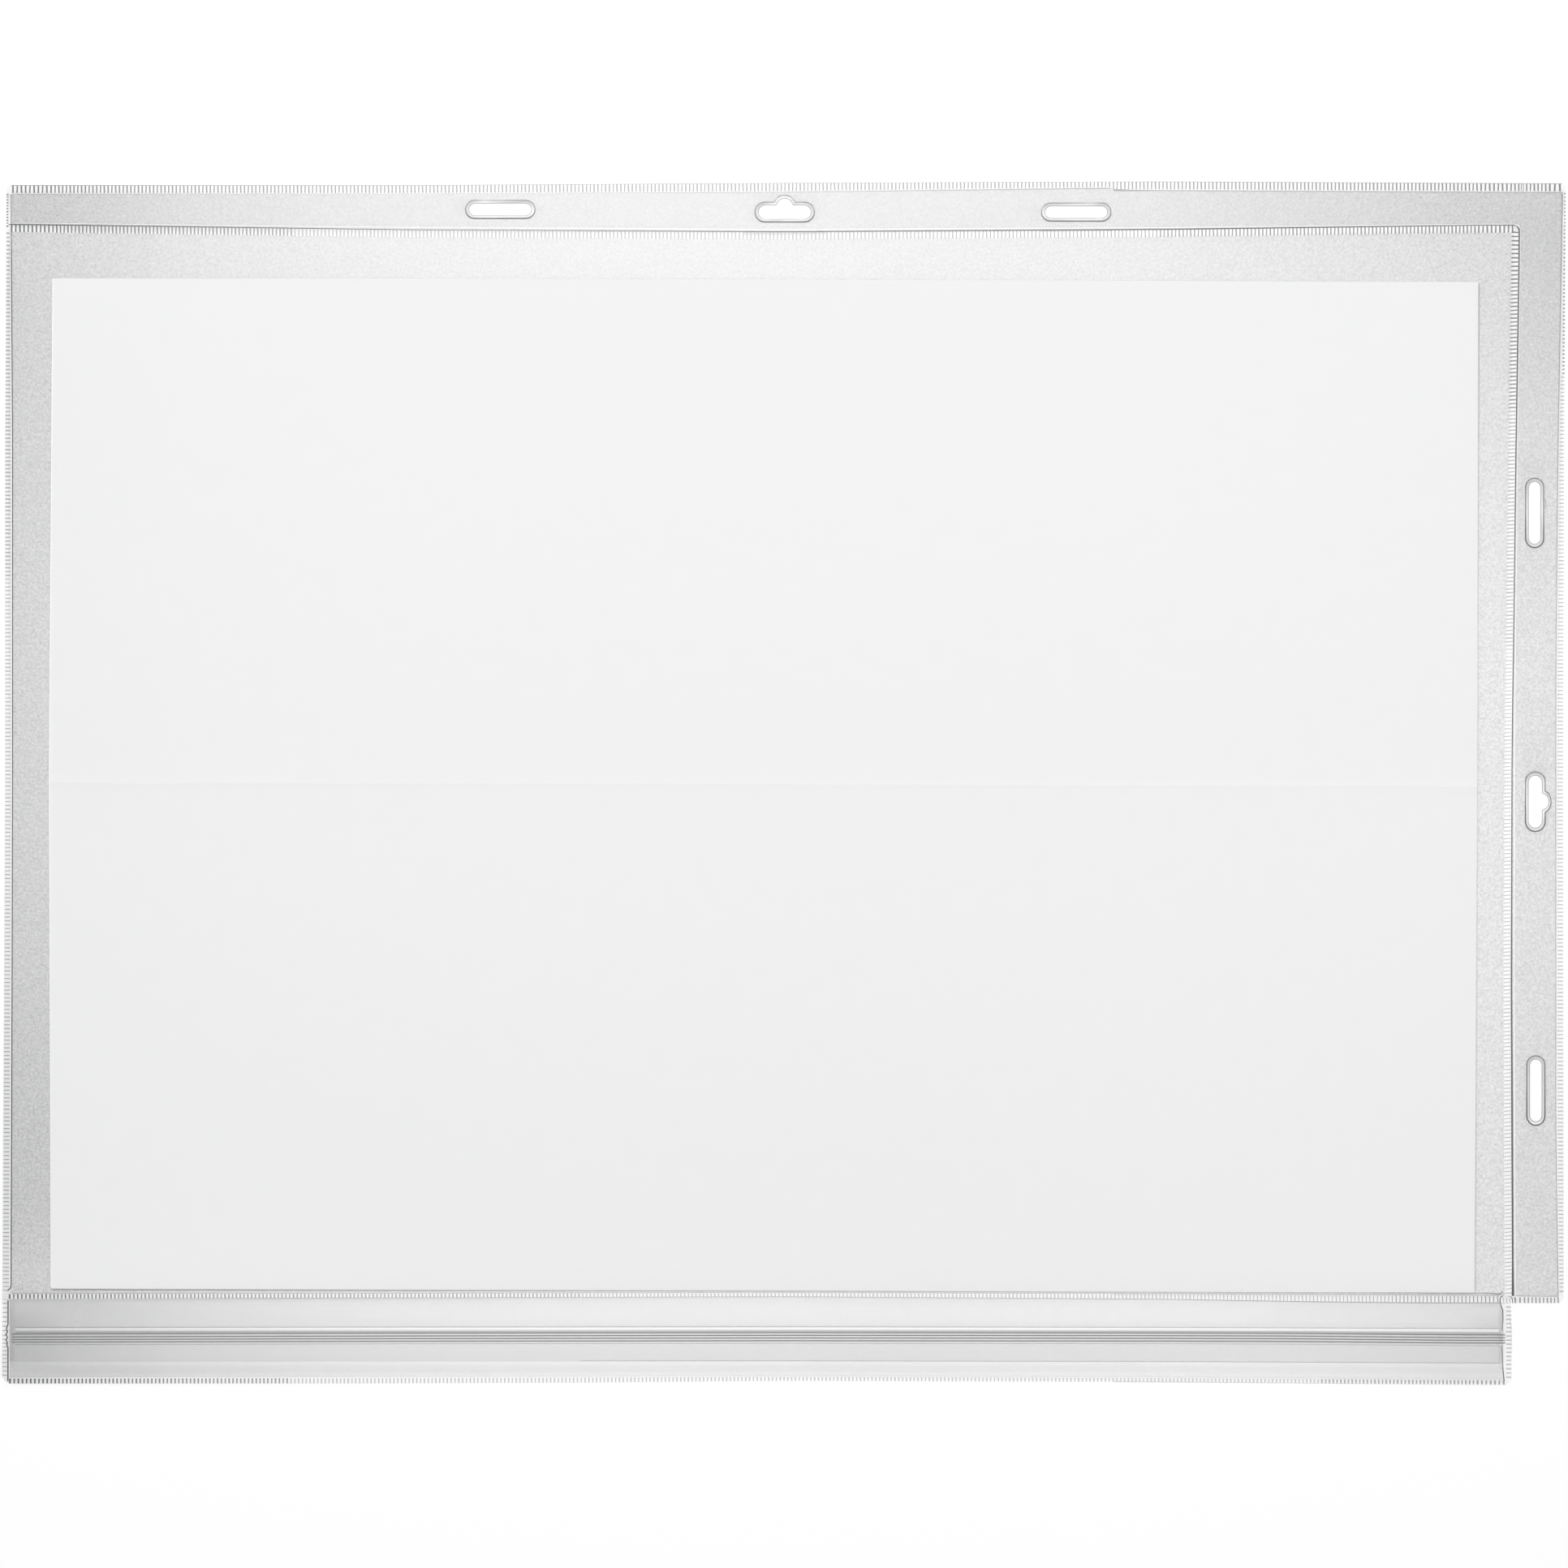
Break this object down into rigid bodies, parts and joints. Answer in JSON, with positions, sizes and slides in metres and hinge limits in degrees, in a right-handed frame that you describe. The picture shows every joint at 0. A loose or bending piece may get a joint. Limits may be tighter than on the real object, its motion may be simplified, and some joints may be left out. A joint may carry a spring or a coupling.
{
  "type": "document pocket",
  "caption": "Wide clear document pocket with hanging margins above and at one side, punched with slots, a press closure along its mouth and a white sheet inside.",
  "frame": {"origin": "under the middle of the whole outline, on the surface that the pocket's back lies on", "axes": "+X towards the side hanging margin, +Y towards the upper hanging margin, +Z out of the front film"},
  "size_m": [0.459, 0.353, 0.0019],
  "materials": {
    "embossed_film": "soft clear film with a fine matt grain",
    "clear_film": "smooth clear film",
    "closure_tape": "smooth clear extruded tape",
    "paper": "matt white paper"
  },
  "bodies": {
    "root": {"back_film": "embossed_film", "front_film": "embossed_film", "back_lip": "clear_film", "front_lip": "clear_film", "back_closure_tape": "closure_tape", "front_closure_tape": "closure_tape", "paper_sheet": "paper"}
  },
  "joints": []
}
